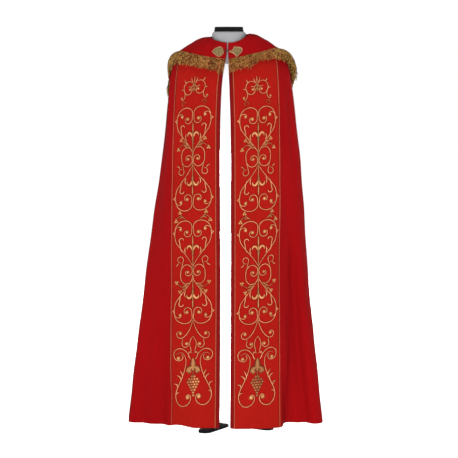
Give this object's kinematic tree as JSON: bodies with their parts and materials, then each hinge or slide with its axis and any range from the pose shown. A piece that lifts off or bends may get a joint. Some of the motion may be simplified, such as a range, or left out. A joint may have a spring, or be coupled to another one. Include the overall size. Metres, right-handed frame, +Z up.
{
  "type": "cope vestment on a dress form with a stand",
  "caption": "Floor-length open cope with embroidered front bands, a fringed hood over the shoulders and a hook clasp, hung on a limbless dress form with a stand.",
  "frame": {"origin": "on the floor under the middle of the stand's pole", "axes": "+Z up; the front of the cope faces -Y; +X is to the right of someone who looks at the front"},
  "size_m": [0.739, 0.4734, 1.5174],
  "materials": {
    "crimson_cloth": "matt woven cloth, deep red",
    "scarlet_cloth": "matt woven cloth, brighter red",
    "gold_thread": "metallic gold thread",
    "gold_metal": "antique gold",
    "grey_jersey": "smooth grey jersey",
    "black_paint": "black, satin",
    "white_paint": "white, satin"
  },
  "bodies": {
    "root": {"mantle_left": "crimson_cloth", "mantle_right": "crimson_cloth", "orphrey_left": "scarlet_cloth", "orphrey_right": "scarlet_cloth", "orphrey_cord_left_inner": "gold_thread", "orphrey_cord_left_outer": "gold_thread", "orphrey_cord_right_inner": "gold_thread", "orphrey_cord_right_outer": "gold_thread", "hood": "crimson_cloth", "fringe": "gold_thread", "clasp_leaf_left": "gold_metal", "clasp_leaf_right": "gold_metal", "clasp_hook": "gold_metal", "form_torso": "grey_jersey", "neck_cap": "black_paint", "form_flange": "white_paint", "stand_pole": "white_paint", "stand_hub": "white_paint", "stand_leg_1": "black_paint", "stand_leg_2": "black_paint", "stand_leg_3": "black_paint", "stand_leg_4": "black_paint"}
  },
  "joints": []
}
